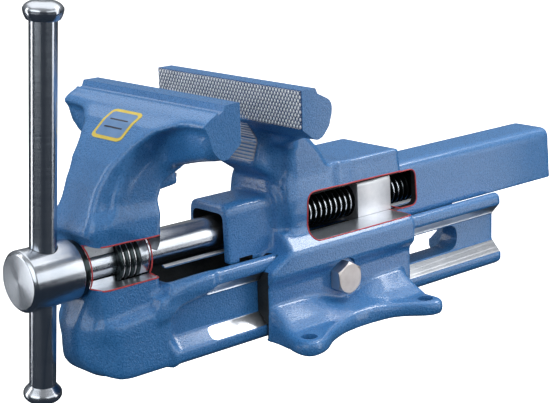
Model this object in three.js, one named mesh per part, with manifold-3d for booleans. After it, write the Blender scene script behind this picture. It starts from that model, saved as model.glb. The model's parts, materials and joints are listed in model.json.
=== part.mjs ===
// A front-opening forged bench vise with a 120 mm jaw: a fixed body that bolts to the bench, a front
// jaw forged in one piece with its guide rail, and a trapezoidal spindle that runs in a fixed nut.
// Two windows are cut into the near side, over the spring pack and over the nut.
//
// Millimetres, +Z up. Inside the vise group the spindle axis is the X axis, X = 0 is the fixed jaw's
// clamping face and +X points to the rear. The outer group has its origin in the middle of the base.

import * as THREE from "three";
import { mergeVertices } from "three/addons/utils/BufferGeometryUtils.js";
import Module from "manifold-3d";

const wasm = await Module();
wasm.setup();

// ---- driving dimensions -------------------------------------------------------------------------
const AXIS_HEIGHT = 60; // spindle axis above the bench
const BASE_MID_X = 50; // middle of the base, behind the fixed clamping face
const PLAY = 0.4; // running clearance of the guide, each side
const GAP = 0.3; // clearance between pieces that touch

const JAW_HALF_WIDTH = 60;
const JAW_TOP = 83.5;
const JAW_OPENING = 40; // as posed; the thread closes it to 0.3 mm

const SHAFT_R = 10; // Tr 20 x 4 spindle
const SPINDLE_END = 214;
const HEAD_R = 16;
const HEAD_FRONT = -138;
const HEAD_REAR = -108;
const HANDLE_X = -123.4; // cross hole in the spindle head
const HANDLE_R = 7;
const HANDLE_TILT = THREE.MathUtils.degToRad(6.92);
const HANDLE_TOP = 136; // knob middles, along the bar from the spindle axis
const HANDLE_BOTTOM = -64;
const SPIGOT_R = 5; // turned-down bar end inside each knob
const KNOB_R = 10;
const KNOB_HALF = 4.5;

const BOSS_FRONT = -104;
const BOSS_REAR = -64;
const BOSS_HALF = 20.5;
const BORE_R = 14.3;
const SHOULDER_X = -85.6; // the narrow front bore ends here and the spring pack seats on it
const DISC = 2.3; // thickness of one disc spring
const SHIM = 0.7; // thickness of the ground ring between two disc springs
const DISCS = 4;
const COLLAR_FRONT = -72; // pinned collar that holds the spindle in the front jaw
const COLLAR_REAR = -66;
const COLLAR_X = (COLLAR_FRONT + COLLAR_REAR) / 2;
const COLLAR_R = 13.6;
const COLLAR_PIN_R = 1.5;
const BLOCK_HALF = 26;
const ARM_HALF = 20;
const PIPE_HALF = 13;

const RAIL_REAR = 198.2;
const SLOT_FRONT = 8;
const SLOT_REAR = 164.4;
const SLOT_REAR_FAR = 190; // the far wall of the rail is open almost to its end
const SLOT_BOTTOM = -43;
const SLOT_TOP = -27;

const CHANNEL_FRONT = -16;
const CHANNEL_REAR = 258.4;
const CHANNEL_BOTTOM = -14.6;
const BODY_FRONT = 0;
const BODY_REAR = 111;
const ANVIL_FRONT = 62;
const ANVIL_TOP = 30;
const BASE = -AXIS_HEIGHT;
const LUG_TOP = -50.5;
const LUG_HOLE_R = 4.5;
const LUG_X = [5, 96];
const LUG_Y = 56.5;

const BOLT_X = 55.5;
const BOLT_Z = -34;
const BOLT_R = 5;
const HEX_ACROSS_FLATS = 17;
const BOLT_HEAD = 6.9; // thickness of the head, then of the washer and the nut
const WASHER = 2;
const HEX_NUT = 8;
const WASHER_R = 10.5;
const SPOT_FACE_R = 11.5;
const WAIST_HALF = 30; // outer half width of the guide where the tie bolt clamps it

const NUT_FRONT = 86.5;
const NUT_REAR = 114;
const WINDOW_PLANE = -12; // the nut window is cut in from the near side as far as this
const DOWEL_X = 100; // dowel that keys the nut to the body from the far side
const DOWEL_Z = 2;
const DOWEL_R = 4;

const LABEL = { length: 21, width: 26, thick: 0.5 };

// ---- materials ----------------------------------------------------------------------------------
const paint = new THREE.MeshStandardMaterial({ color: 0x3f6ba6, roughness: 0.42, metalness: 0.1 });
const steel = new THREE.MeshStandardMaterial({ color: 0xa9a7a6, roughness: 0.3, metalness: 1 });
const zinc = new THREE.MeshStandardMaterial({ color: 0xb5aaa4, roughness: 0.35, metalness: 1 });
const black = new THREE.MeshStandardMaterial({ color: 0x15181c, roughness: 0.4, metalness: 0.6 });
const nutSteel = new THREE.MeshStandardMaterial({ color: 0xc4c8ce, roughness: 0.4, metalness: 0.9 });
const label = new THREE.MeshStandardMaterial({ color: 0xd8b84a, roughness: 0.5, metalness: 0 });

// ---- solids -------------------------------------------------------------------------------------
const X = new THREE.Vector3(1, 0, 0);
const Y = new THREE.Vector3(0, 1, 0);
const Z = new THREE.Vector3(0, 0, 1);

// A closed three.js geometry as a solid for cutting and joining.
function solid(geometry) {
  const bare = geometry.clone();
  bare.deleteAttribute("normal");
  bare.deleteAttribute("uv");
  const merged = mergeVertices(bare, 1e-4);
  const corners = merged.index.array;
  const kept = [];
  for (let i = 0; i < corners.length; i += 3) {
    const [a, b, c] = [corners[i], corners[i + 1], corners[i + 2]];
    if (a !== b && b !== c && c !== a) kept.push(a, b, c);
  }
  const build = (triangles) =>
    new wasm.Manifold(
      new wasm.Mesh({
        numProp: 3,
        vertProperties: merged.attributes.position.array,
        triVerts: new Uint32Array(triangles),
      }),
    );
  const made = build(kept);
  return made.volume() < 0 ? build(kept.reverse()) : made;
}

// A closed outline with corners [u, v], or [u, v, r] where the corner is rounded by r.
function outline(corners) {
  const shape = new THREE.Shape();
  corners.forEach(([u, v, r = 0], i) => {
    const at = new THREE.Vector2(u, v);
    const before = new THREE.Vector2(...corners.at(i - 1).slice(0, 2)).sub(at).setLength(r).add(at);
    const next = corners[(i + 1) % corners.length];
    const after = new THREE.Vector2(next[0], next[1]).sub(at).setLength(r).add(at);
    if (i === 0) shape.moveTo(before.x, before.y);
    else shape.lineTo(before.x, before.y);
    if (r > 0) shape.quadraticCurveTo(u, v, after.x, after.y);
  });
  return shape;
}

function prism(corners, depth, u, v, w) {
  const geometry = new THREE.ExtrudeGeometry(outline(corners), {
    depth,
    bevelEnabled: false,
    curveSegments: 4,
  });
  return solid(geometry.applyMatrix4(new THREE.Matrix4().makeBasis(u, v, w)));
}

// Prisms along each axis: a side view in X and Z, an end view in Y and Z, a plan in X and Y.
const side = (corners, y0, y1) =>
  prism(corners, y1 - y0, X, Z, Y.clone().negate()).translate([0, y1, 0]);
const end = (corners, x0, x1) => prism(corners, x1 - x0, Y, Z, X).translate([x0, 0, 0]);
const plan = (corners, z0, z1) => prism(corners, z1 - z0, X, Y, Z).translate([0, 0, z0]);

function box([x0, y0, z0], [x1, y1, z1]) {
  const geometry = new THREE.BoxGeometry(x1 - x0, y1 - y0, z1 - z0);
  return solid(geometry.translate((x0 + x1) / 2, (y0 + y1) / 2, (z0 + z1) / 2));
}

// The right half of an end view, given from top to bottom, closed by its mirror image.
const mirrored = (half) => [...half, ...half.map(([y, ...rest]) => [-y, ...rest]).reverse()];

// A turned piece about the X axis, from [x, radius] corners of a closed or axis-to-axis profile.
function turned(profile, segments = 40) {
  const points = profile.map(([x, r]) => new THREE.Vector2(r, x));
  const geometry = new THREE.LatheGeometry(points, segments);
  return solid(geometry.applyMatrix4(new THREE.Matrix4().makeBasis(Z, X, Y)));
}

const rod = (x0, x1, r, segments) => turned([[x0, 0], [x0, r], [x1, r], [x1, 0]], segments);

const ring = (x0, x1, inner, outer, segments) =>
  turned([[x0, inner], [x0, outer], [x1, outer], [x1, inner], [x0, inner]], segments);

// A rod on any axis through a point.
function pin(centre, direction, from, to, r, segments = 20) {
  const geometry = new THREE.CylinderGeometry(r, r, to - from, segments);
  geometry.translate(0, (from + to) / 2, 0);
  const turn = new THREE.Quaternion().setFromUnitVectors(Y, direction.clone().normalize());
  geometry.applyQuaternion(turn).translate(...centre);
  return solid(geometry);
}

const union = (parts) => parts.reduce((whole, part) => whole.add(part));

const vise = new THREE.Group();
vise.position.set(-BASE_MID_X, 0, AXIS_HEIGHT);

function add(name, shape, material, parent = vise) {
  const mesh = shape.getMesh();
  const geometry = new THREE.BufferGeometry();
  geometry.setAttribute("position", new THREE.BufferAttribute(mesh.vertProperties, 3));
  geometry.setIndex(new THREE.BufferAttribute(mesh.triVerts, 1));
  geometry.computeVertexNormals();
  const node = new THREE.Mesh(geometry, material);
  node.name = name;
  parent.add(node);
}

// ---- outlines shared by both jaws ---------------------------------------------------------------
// Side view of a jaw bar, measured back from its clamping face.
const JAW_BAR = [
  [0, 62.6],
  [0, JAW_TOP],
  [10.5, JAW_TOP],
  [11.9, 80.5],
  [20.4, 76.3, 1.6],
  [22.3, 73, 1.6],
  [19, 62.8],
  [15, 57, 2],
  [10.5, 55.6, 2],
];

// Side view of the grooved pipe grip under the jaw bar, measured the same way.
const PIPE_GRIP = [
  [0.4, 62.8],
  [8, 50, 3],
  [4, 38.6, 1],
  [4.6, 35.3, 1],
];

const frontJaw = (corners) => corners.map(([x, z, r]) => [-JAW_OPENING - x, z, r ?? 0]);

// Half of the rail's end view: a prism flange at the top, a waist and a prism foot.
const RAIL = [
  [22, -13.4],
  [26, -14.4],
  [26.4, -19.5],
  [20, -26.8],
  [20, -43.1],
  [27.4, -50.8],
  [27.2, -55.6],
  [24.5, -58],
];

// ---- fixed jaw body -----------------------------------------------------------------------------
function fixedJawBody() {
  const jaw = side(JAW_BAR, -JAW_HALF_WIDTH, JAW_HALF_WIDTH);
  const haunch = end(mirrored([[58, 66], [58, 57.5], [24, 46]]), 10, 24);
  const pipeGrip = side(
    [...PIPE_GRIP, [9, 33.6], [9, 16], [26, 16], [26, 60], [12, 66]],
    -PIPE_HALF,
    PIPE_HALF,
  );
  const neck = side(
    [
      [24, 10],
      [24, 58],
      [19, 64],
      [22, 70],
      [32, 57, 4],
      [43.5, 46, 6],
      [50, 38],
      [57, ANVIL_TOP],
      [64, 10],
    ],
    -24,
    24,
  );
  const upperBlock = end(mirrored([[23.5, ANVIL_TOP], [26, 16], [26, -14]]), ANVIL_FRONT, BODY_REAR);
  const middleBlock = end(mirrored([[22, 24], [26, 16], [26, -14]]), 22, ANVIL_FRONT + 1);
  const collar = end(mirrored([[14, 22], [19, 17], [20, -14]]), 5, 23);
  const guide = end(
    mirrored([[25, -6], [34, -12], [34, -24], [WAIST_HALF, -28.5], [WAIST_HALF, BASE]]),
    BODY_FRONT,
    BODY_REAR + 1.5,
  );
  const skirt = end(mirrored([[29, -42.5], [45.5, LUG_TOP], [45.5, BASE]]), 6, 102);
  const lugs = [];
  for (const x of LUG_X) {
    const out = Math.sign(x - BASE_MID_X);
    for (const s of [-1, 1]) {
      const corners = [
        [x + out * 6.5, s * 28],
        [x + out * 9.5, s * 46],
        [x + out * 9.5, s * 66, 10],
        [x - out * 12, s * 66, 11],
        [x - out * 26, s * 46],
        [x - out * 26, s * 28],
      ];
      lugs.push(plan(corners, BASE, LUG_TOP));
    }
  }
  const channel = end(
    mirrored([[15, 18, 5], [17.4, CHANNEL_BOTTOM]]),
    CHANNEL_FRONT,
    CHANNEL_REAR,
  );
  const channelInside = end(mirrored([[12.6, 13, 3], [13.4, -20]]), CHANNEL_FRONT - 5, CHANNEL_REAR + 5);
  const guideBore = end(
    mirrored([
      [26.2, -13],
      [26.8, -19.6],
      [20 + PLAY, -26.7],
      [20 + PLAY, -43.2],
      [27.4 + PLAY, -50.6],
      [27.4 + PLAY, BASE - 2],
    ]),
    BODY_FRONT - 10,
    BODY_REAR + 10,
  );
  let body = union([jaw, haunch, pipeGrip, neck, upperBlock, middleBlock, collar, guide, skirt, ...lugs]);
  body = body.subtract(guideBore).add(channel).subtract(channelInside);

  const windowInBlock = side([[35, -9, 4], [35, 17.5, 4], [118, 16.4], [118, -9]], -50, WINDOW_PLANE);
  const windowInChannel = side(
    [[110, -8.4], [110, 12.4], [131.4, 12.4, 4], [131.4, -8.4, 4]],
    -50,
    WINDOW_PLANE,
  );
  const boltHole = pin([BOLT_X, 0, BOLT_Z], Y, -50, 50, BOLT_R + GAP);
  const nearSpotFace = pin([BOLT_X, 0, BOLT_Z], Y, -60, -WAIST_HALF, SPOT_FACE_R);
  const farSpotFace = pin([BOLT_X, 0, BOLT_Z], Y, WAIST_HALF, 60, SPOT_FACE_R);
  const dowelHole = pin([DOWEL_X, 0, DOWEL_Z], Y, 0, 50, DOWEL_R + GAP);
  body = body.subtract(nearSpotFace).subtract(farSpotFace);
  body = body.subtract(windowInBlock).subtract(windowInChannel).subtract(boltHole).subtract(dowelHole);
  for (const x of LUG_X) {
    for (const y of [-LUG_Y, LUG_Y]) {
      body = body.subtract(pin([x, y, 0], Z, BASE - 5, LUG_TOP + 30, LUG_HOLE_R));
    }
  }
  return body;
}

// ---- front jaw with its slide rail --------------------------------------------------------------
// Front surface of the arm in side view, from the jaw ledge down to the boss.
const ARM_FRONT = [[-52.5, 80], [-62, 76.4], [-83, 61.5], [-90, 53], [-96.5, 43], [-101, 33], [-104, 22]];
const THROAT = [
  [-64.5, 15],
  [-64.5, 26],
  [-61.5, 35.5],
  [-54.5, 43.5],
  [-48.3, 47],
];

function movingJawSlide() {
  const jaw = side(frontJaw(JAW_BAR), -JAW_HALF_WIDTH, JAW_HALF_WIDTH);
  const haunch = end(mirrored([[58, 66], [58, 57.5], [20, 46]]), -61, -49.5);
  const webFront = ARM_FRONT.slice(1).map(([x, z]) => [x + 5, z - 3]);
  const web = side([...webFront, [BOSS_REAR, 15], ...THROAT.slice(1), [-48.3, 66]], -ARM_HALF, ARM_HALF);
  const flangePlate = side(
    [...ARM_FRONT, [-94, 22], [-90, 36], [-84, 47], [-77, 55], [-66, 62], [-50, 64]],
    -JAW_HALF_WIDTH,
    JAW_HALF_WIDTH,
  );
  const flangeFront = end(
    mirrored([[60, 84], [60, 76.5], [46, 74], [33, 70], [24, 64], [19, 54], [16.5, 43], [17, 20]]),
    -110,
    -40,
  );
  const pipeGrip = side(
    [...frontJaw(PIPE_GRIP), [-54, 34], [-66, 29], [-66, 52], [-50, 66]],
    -PIPE_HALF,
    PIPE_HALF,
  );
  const boss = side(
    [[BOSS_FRONT, -32], [BOSS_FRONT, 24, 4], [-96, 30], [BOSS_REAR, 26], [BOSS_REAR, -32]],
    -BOSS_HALF,
    BOSS_HALF,
  );
  const block = side(
    [[-62, -24], [-62, -58], [-90, -58], [-107, -54, 8], [-107, -30, 4]],
    -BLOCK_HALF,
    BLOCK_HALF,
  );
  const noseRib = side(
    [[-100, -20], [-100, -57], [-111.5, -50, 6], [-111.5, -27, 5], [-103.5, -17]],
    -11,
    11,
  );
  const shoulder = end(mirrored([[22, -15], [BLOCK_HALF, -24], [BLOCK_HALF, -40], [20, -50]]), -66, -50);
  const rail = end(mirrored(RAIL), -63, RAIL_REAR);
  const railRoot = box([-66, -20, -34], [-58, 20, -10]);

  const trough = end(
    mirrored([[20, -10], [18.6, -16], [17, -22], [9, -30], [6.5, -38], [5.5, -46]]),
    -60,
    RAIL_REAR + 5,
  );
  const slotTo = (rear, y0, y1) =>
    side(
      [
        [SLOT_FRONT, SLOT_BOTTOM, 8],
        [SLOT_FRONT, SLOT_TOP, 8],
        [rear, SLOT_TOP, 8],
        [rear, SLOT_BOTTOM, 8],
      ],
      y0,
      y1,
    );
  const slot = slotTo(SLOT_REAR, -40, 0).add(slotTo(SLOT_REAR_FAR, 0, 40));
  const frontBore = rod(BOSS_FRONT - 5, SHOULDER_X, SHAFT_R + 0.6);
  const springBore = rod(SHOULDER_X, BOSS_REAR + 30, BORE_R);
  const window = box([BOSS_FRONT - 1, -40, -9], [BOSS_REAR - 1.5, -8.5, 13.5]);

  let jawPiece = union([jaw, haunch, web, flangePlate.intersect(flangeFront), pipeGrip, boss]);
  jawPiece = union([jawPiece, block, noseRib, shoulder, railRoot, rail.subtract(trough)]);
  return jawPiece.subtract(slot).subtract(frontBore).subtract(springBore).subtract(window);
}

// ---- spindle, handle and spring pack ------------------------------------------------------------
const handleAxis = new THREE.Vector3(0, -Math.sin(HANDLE_TILT), Math.cos(HANDLE_TILT));

function spindleScrew() {
  const body = turned([
    [HEAD_FRONT, 0],
    [HEAD_FRONT, HEAD_R - 2.4],
    [HEAD_FRONT + 0.8, HEAD_R - 0.8],
    [HEAD_FRONT + 2.6, HEAD_R],
    [HEAD_REAR - 0.8, HEAD_R],
    [HEAD_REAR, HEAD_R - 0.8],
    [HEAD_REAR, SHAFT_R],
    [SPINDLE_END - 2, SHAFT_R],
    [SPINDLE_END, SHAFT_R - 2],
    [SPINDLE_END, 0],
  ]);
  const handleHole = pin([HANDLE_X, 0, 0], handleAxis, -30, 30, HANDLE_R + GAP, 28);
  const pinHole = pin([COLLAR_X, 0, 0], Z, -30, 30, COLLAR_PIN_R + GAP, 16);
  return body.subtract(handleHole).subtract(pinHole);
}

add("fixed_jaw_body", fixedJawBody(), paint);
add("moving_jaw_slide", movingJawSlide(), paint);
add("spindle_screw", spindleScrew(), steel);

const collar = ring(COLLAR_FRONT, COLLAR_REAR, SHAFT_R + GAP, COLLAR_R);
const collarPinHole = pin([COLLAR_X, 0, 0], Z, -30, 30, COLLAR_PIN_R + GAP, 16);
add("retaining_collar", collar.subtract(collarPinHole), steel);
add("collar_pin", pin([COLLAR_X, 0, 0], Z, -COLLAR_R + 0.4, COLLAR_R - 0.4, COLLAR_PIN_R, 16), steel);
add("thrust_washer", ring(HEAD_REAR + GAP, BOSS_FRONT - GAP, SHAFT_R + GAP, 15), black);

let packX = SHOULDER_X + GAP;
for (let i = 1; i <= DISCS; i += 1) {
  add(`disc_spring_${i}`, ring(packX, packX + DISC, SHAFT_R + GAP, BORE_R - 0.4), black);
  packX += DISC + GAP;
  if (i < DISCS) {
    add(`spring_shim_${i}`, ring(packX, packX + SHIM, SHAFT_R + GAP, BORE_R - 0.9), steel);
    packX += SHIM + GAP;
  }
}

const handle = new THREE.Group();
handle.position.x = HANDLE_X;
handle.rotation.x = HANDLE_TILT;
vise.add(handle);

// The bar and knobs are turned about their own axis, which the group stands up and tilts.
const upright = (shape) => shape.rotate([0, -90, 0]);
const barEnd = (s, z) => [
  [z - s * (KNOB_HALF + GAP), HANDLE_R],
  [z - s * (KNOB_HALF + GAP), SPIGOT_R],
  [z + s * 2, SPIGOT_R],
  [z + s * 2, 0],
];
const bar = turned([...barEnd(-1, HANDLE_BOTTOM).reverse(), ...barEnd(1, HANDLE_TOP)], 28);
add("handle_bar", upright(bar), steel, handle);

// A knob's profile from its inner face outwards; s says which way outwards is.
function knob(s, z, profile) {
  const socket = [[2 + GAP, 0], [2 + GAP, SPIGOT_R + GAP], [-KNOB_HALF, SPIGOT_R + GAP]];
  return turned([...socket, ...profile].map(([x, r]) => [z + s * x, r]), 28);
}
const domed = [[-KNOB_HALF, 8.6], [-3.2, KNOB_R], [2.4, KNOB_R], [4, 8.4], [KNOB_HALF, 6], [KNOB_HALF, 0]];
const flared = [[-KNOB_HALF, 7.2], [-0.6, KNOB_R], [2.4, KNOB_R], [4, 8.4], [KNOB_HALF, 6], [KNOB_HALF, 0]];
add("handle_knob_upper", upright(knob(1, HANDLE_TOP, domed)), steel, handle);
add("handle_knob_lower", upright(knob(-1, HANDLE_BOTTOM, flared)), steel, handle);

// ---- nut and its dowel --------------------------------------------------------------------------
const nutBlock = end(mirrored([[12.2, 12.4, 3], [12.8, -12, 1]]), NUT_FRONT, NUT_REAR);
const nutBore = rod(NUT_FRONT - 5, NUT_REAR + 5, SHAFT_R + GAP);
const dowelAt = [DOWEL_X, 0, DOWEL_Z];
const nutDowelHole = pin(dowelAt, Y, 11, 50, DOWEL_R + GAP);
add("spindle_nut", nutBlock.subtract(nutBore).subtract(nutDowelHole), nutSteel);
add("nut_dowel", pin(dowelAt, Y, 11.4, 25.6, DOWEL_R), steel);

// ---- guide tie bolt -----------------------------------------------------------------------------
const hexR = HEX_ACROSS_FLATS / Math.sqrt(3);
const boltAt = [BOLT_X, 0, BOLT_Z];
const hexPrism = (from, to) => pin(boltAt, Y, from, to, hexR, 6);
const headFace = -WAIST_HALF - GAP;
const bolt = hexPrism(headFace - BOLT_HEAD, headFace).add(pin(boltAt, Y, headFace - 1, 43, BOLT_R));
add("guide_tie_bolt", bolt, zinc);
const around = (shape) => shape.subtract(pin(boltAt, Y, -50, 50, BOLT_R + GAP));
const washerFace = WAIST_HALF + GAP;
const nutFace = washerFace + WASHER + GAP;
add("tie_bolt_washer", around(pin(boltAt, Y, washerFace, washerFace + WASHER, WASHER_R, 28)), zinc);
add("tie_bolt_nut", around(hexPrism(nutFace, nutFace + HEX_NUT)), zinc);

// ---- size label ---------------------------------------------------------------------------------
const [labelTop, labelFoot] = [ARM_FRONT[1], ARM_FRONT[2]];
const labelSlope = Math.atan2(labelTop[1] - labelFoot[1], labelTop[0] - labelFoot[0]);
const labelPlate = new THREE.Mesh(new THREE.BoxGeometry(LABEL.length, LABEL.width, LABEL.thick), label);
labelPlate.name = "size_label";
labelPlate.rotation.y = -labelSlope;
const labelLift = LABEL.thick / 2 + GAP;
labelPlate.position.set(
  (labelTop[0] + labelFoot[0]) / 2 - labelLift * Math.sin(labelSlope),
  0,
  (labelTop[1] + labelFoot[1]) / 2 + labelLift * Math.cos(labelSlope),
);
vise.add(labelPlate);

const group = new THREE.Group();
group.add(vise);
export default group;
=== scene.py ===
# %% [markdown]
# # A cut-away bench vise, built around its imported frame
# The frame holds every size and every joint. This lesson gives each piece the surface of the real one:
# drop-forged and enamelled jaws, a turned spindle with a trapezoidal thread, ground rings and a plated bolt.
# The frame is loaded first and its parts are kept, so that sizes can be read off their boxes.

import json
import math

import bmesh
import bpy
import numpy as np
import openvdb
from mathutils import Matrix, Vector
from mathutils.bvhtree import BVHTree


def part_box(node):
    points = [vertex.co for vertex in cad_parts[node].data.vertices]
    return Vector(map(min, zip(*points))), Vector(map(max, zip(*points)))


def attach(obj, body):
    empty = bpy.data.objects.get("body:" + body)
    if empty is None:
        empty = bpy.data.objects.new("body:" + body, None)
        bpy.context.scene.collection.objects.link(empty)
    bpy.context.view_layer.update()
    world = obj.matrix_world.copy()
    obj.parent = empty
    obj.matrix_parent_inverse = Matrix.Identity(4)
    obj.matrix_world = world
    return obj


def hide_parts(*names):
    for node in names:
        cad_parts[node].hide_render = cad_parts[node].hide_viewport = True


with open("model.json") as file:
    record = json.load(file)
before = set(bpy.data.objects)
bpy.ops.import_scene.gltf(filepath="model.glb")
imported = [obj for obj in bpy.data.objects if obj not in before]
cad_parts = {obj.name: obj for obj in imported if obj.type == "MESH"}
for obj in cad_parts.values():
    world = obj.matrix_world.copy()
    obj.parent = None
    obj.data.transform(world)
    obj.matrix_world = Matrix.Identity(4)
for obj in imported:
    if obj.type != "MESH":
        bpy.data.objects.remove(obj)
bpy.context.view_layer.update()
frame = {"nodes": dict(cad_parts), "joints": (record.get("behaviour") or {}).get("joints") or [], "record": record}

# %% [markdown]
# A vise maker draws everything from two references: the spindle axis and the fixed clamping face.
# The script does the same. Sizes are millimetres from that axis and that face, and one function
# turns them into the frame's metres, so a number here can be read against a workshop drawing.

# %% Spindle axis and clamping face
mounts = {mount["name"]: Vector(mount["pos_m"]) for mount in frame["record"]["mounts"]}
joints = {joint["name"]: joint for joint in frame["joints"]}
MM = 0.001
ZERO = Vector((mounts["fixed_clamp_face"].x, 0.0, joints["spindle_turn"]["pos_m"][2]))
OPENING = (mounts["fixed_clamp_face"].x - mounts["moving_clamp_face"].x) / MM


def metres(points):
    return np.asarray(points, float) * MM + np.array(ZERO)


def span(node):
    """A CAD node's lowest and highest corner in workshop millimetres."""
    low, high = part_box(node)
    return (np.array(low) - np.array(ZERO)) / MM, (np.array(high) - np.array(ZERO)) / MM


print("jaw opening, mm:", round(OPENING, 1))

# %% [markdown]
# The camera stands in front and to the left of the vise, a little above it, and is rolled by under two
# degrees, which makes the guide rail rise to the right. A long lens keeps the jaw edges nearly parallel.

# %% Camera
TURN, LIFT, ROLL = math.radians(-41.42), math.radians(14.16), math.radians(-1.77)
LENS, DISTANCE = 101.27, 0.87419
AIM = Vector(metres((33.27, 0.0, 8.77)))
back = Vector((math.sin(TURN) * math.cos(LIFT), -math.cos(TURN) * math.cos(LIFT), math.sin(LIFT)))
camera_data = bpy.data.cameras.new("studio_camera")
camera_data.lens = LENS
camera = bpy.data.objects.new("studio_camera", camera_data)
bpy.context.scene.collection.objects.link(camera)
camera.rotation_mode = "QUATERNION"
camera.location = AIM + back * DISTANCE
camera.rotation_quaternion = (-back).to_track_quat("-Z", "Y") @ Matrix.Rotation(ROLL, 3, "Z").to_quaternion()
bpy.context.scene.camera = camera
print("camera at", tuple(round(c, 3) for c in camera.location))

# %% [markdown]
# Every piece starts as points and faces. Smooth shading with sharp edges above an angle is what makes
# a turned bar look round and its chamfer look cut, so the helper marks that angle on each mesh.

# %% Mesh helpers
X_AXIS, Y_AXIS, Z_AXIS = Vector((1, 0, 0)), Vector((0, 1, 0)), Vector((0, 0, 1))
SAME_POINT = 1e-7


def piece(name, points, faces, materials=(), sharp=32):
    mesh = bpy.data.meshes.new(name)
    mesh.from_pydata(metres(points).tolist(), [], [tuple(f) for f in faces])
    mesh.validate()
    made = bpy.data.objects.new(name, mesh)
    bpy.context.scene.collection.objects.link(made)
    for material in materials:
        mesh.materials.append(material)
    smooth(made, sharp)
    return made


def smooth(made, sharp=32):
    made.data.shade_smooth()
    made.data.set_sharp_from_angle(angle=math.radians(sharp))


def bake(made):
    """Applies the modifiers of a piece to its mesh."""
    graph = bpy.context.evaluated_depsgraph_get()
    mesh = bpy.data.meshes.new_from_object(made.evaluated_get(graph))
    made.modifiers.clear()
    made.data = mesh
    return made


def machine(made, cutter, operation="DIFFERENCE", face_material=0):
    """Cuts, joins or keeps with a closed tool; the new faces take one of the piece's materials."""
    count = len(made.data.materials)
    for material in list(made.data.materials)[len(cutter.data.materials):count]:
        cutter.data.materials.append(material)
    for face in cutter.data.polygons:
        face.material_index = face_material
    step = made.modifiers.new("machine", "BOOLEAN")
    step.operation, step.solver, step.object = operation, "MANIFOLD", cutter
    bake(made)
    bpy.data.objects.remove(cutter)
    return made


def chamfer(made, width, segments=2, angle=30):
    step = made.modifiers.new("chamfer", "BEVEL")
    step.width, step.segments = width * MM, segments
    step.limit_method, step.angle_limit = "ANGLE", math.radians(angle)
    smooth(bake(made))
    return made


# %% [markdown]
# Workshop outlines are corners joined by straight lines, some with a radius. One function rounds the
# corners, one extrudes an outline along an axis, and one spins a profile round the spindle axis.

# %% Outlines, prisms and turned pieces
def rounded(corners, closed=True, steps=5):
    """Corners (u, v) or (u, v, r) as points; a corner with r becomes a curve."""
    corners = [(*c, 0.0)[:3] for c in corners]
    points = []
    for i, (u, v, r) in enumerate(corners):
        if r == 0 or (not closed and i in (0, len(corners) - 1)):
            points.append((u, v))
            continue
        at = Vector((u, v))
        before = Vector(corners[i - 1][:2]) - at
        after = Vector(corners[(i + 1) % len(corners)][:2]) - at
        start, finish = at + before.normalized() * r, at + after.normalized() * r
        for k in range(steps + 1):
            t = k / steps
            points.append(tuple(start * (1 - t) ** 2 + at * 2 * t * (1 - t) + finish * t * t))
    return points


def mirrored(half):
    """An end view from its right half, listed from top to bottom."""
    return list(half) + [(-c[0], *c[1:]) for c in reversed(half)]


def prism(name, corners, depth, origin, u, v, w, materials=()):
    outline = np.array(rounded(corners))
    ring = np.array(origin) + outline[:, :1] * np.array(u) + outline[:, 1:] * np.array(v)
    count = len(ring)
    points = np.vstack([ring, ring + np.array(w) * depth])
    faces = [tuple(range(count))[::-1], tuple(range(count, 2 * count))]
    faces += [(i, (i + 1) % count, count + (i + 1) % count, count + i) for i in range(count)]
    made = piece(name, points, faces, materials)
    outward(made)
    return made


def outward(made, *steps):
    """Runs steps on a piece's faces, then turns them all to the outside."""
    work = bmesh.new()
    work.from_mesh(made.data)
    for step in steps:
        step(work)
    bmesh.ops.recalc_face_normals(work, faces=work.faces)
    work.to_mesh(made.data)
    work.free()


def grid_quads(rows, columns):
    """Point numbers of a sheet of rows by columns, and its four-sided faces."""
    index = np.arange(rows * columns).reshape(rows, columns)
    quads = np.stack([index[:-1, :-1], index[1:, :-1], index[1:, 1:], index[:-1, 1:]], axis=-1)
    return index, quads.reshape(-1, 4).tolist()


def side_prism(name, corners, y0, y1, materials=()):
    return prism(name, corners, y1 - y0, (0, y0, 0), X_AXIS, Z_AXIS, Y_AXIS, materials)


def end_prism(name, corners, x0, x1, materials=()):
    return prism(name, corners, x1 - x0, (x0, 0, 0), Y_AXIS, Z_AXIS, X_AXIS, materials)


def turned(name, corners, materials=(), segments=96, closed=False, place=None):
    """A profile of (x, radius) corners spun round X. A closed profile makes a ring."""
    profile = rounded(corners, closed)
    angles = np.linspace(0, 2 * math.pi, segments, endpoint=False)
    points = [(x, r * math.sin(a), r * math.cos(a)) for x, r in profile for a in angles]
    rows = len(profile)
    faces = []
    for i in range(rows if closed else rows - 1):
        low, high = i * segments, (i + 1) % rows * segments
        for k in range(segments):
            after = (k + 1) % segments
            faces.append((low + k, low + after, high + after, high + k))
    points = np.array(points)
    if place is not None:
        turn, move = place
        points = points @ np.array(turn).T + np.array(move)
    made = piece(name, points, faces, materials)
    outward(made, lambda work: bmesh.ops.remove_doubles(work, verts=work.verts, dist=SAME_POINT))
    smooth(made)
    return made


def drill(name, centre, direction, start, finish, radius, segments=48):
    """A closed round tool on any axis through a point."""
    turn = Vector(direction).to_track_quat("X", "Z").to_matrix()
    profile = [(start, 0), (start, radius), (finish, radius), (finish, 0)]
    return turned(name, profile, segments=segments, place=(turn, centre))


# %% [markdown]
# Hammered enamel, milled steel and blackened rings all carry a fine random grain, so the grain is one
# node group. It puts out a height for a bump and two masks that vary over the surface. Turned steel has
# another effect, the closely spaced rings that a lathe tool leaves, which is the second group.

# %% Node groups for grain and tool marks
def socket(group, name, kind, side, value=None):
    made = group.interface.new_socket(name=name, in_out=side, socket_type=f"NodeSocket{kind}")
    if value is not None:
        made.default_value = value


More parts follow.
